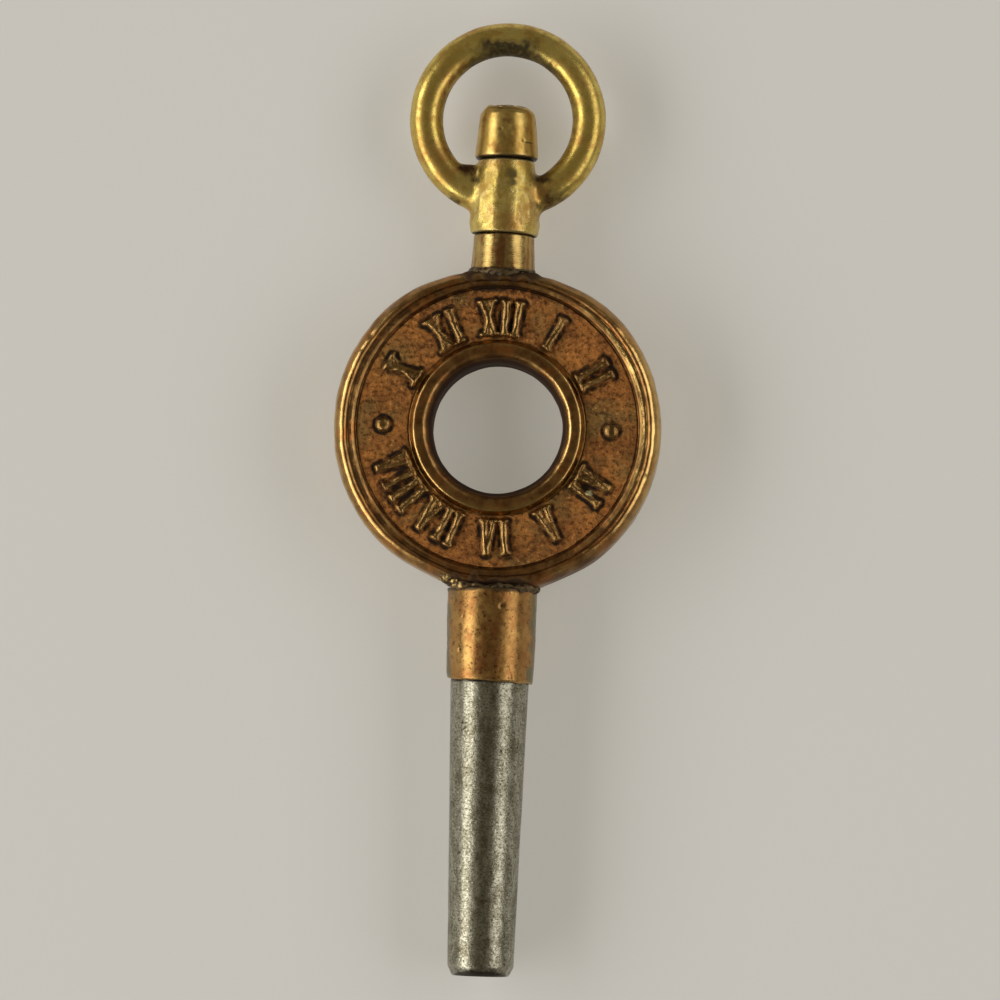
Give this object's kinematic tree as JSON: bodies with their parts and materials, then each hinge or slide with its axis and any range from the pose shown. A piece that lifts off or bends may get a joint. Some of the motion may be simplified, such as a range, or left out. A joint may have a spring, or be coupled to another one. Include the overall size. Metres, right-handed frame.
{
  "type": "pocket watch key",
  "caption": "Brass watch-winding key: disc head with a round hole and raised hour numerals, swivel bow ring, and a tapered steel pipe with a square socket.",
  "frame": {"origin": "centre of the hole through the disc head, at half its thickness", "axes": "+Y along the key from the hole towards the bow, +Z square to the disc's face, out of the hole"},
  "size_m": [0.0138, 0.04, 0.0038],
  "materials": {
    "gilt_brass": "worn gilding with brown patina in the recesses",
    "bow_brass": "bright yellow brass, rubbed and slightly tarnished",
    "cap_brass": "rubbed brass with a copper tint",
    "pipe_steel": "grey steel, finely pitted"
  },
  "bodies": {
    "key_body": {"head_disc": "gilt_brass", "stem": "gilt_brass", "swivel_cap": "cap_brass", "pipe_ferrule": "gilt_brass", "pipe": "pipe_steel"},
    "swivel_bow": {"bow": "bow_brass"}
  },
  "joints": [
    {"name": "bow_swivel", "type": "hinge", "parent": "key_body", "child": "swivel_bow", "pos_m": [0, 0.0098, 0], "axis": [0, 1, 0], "continuous": true}
  ]
}
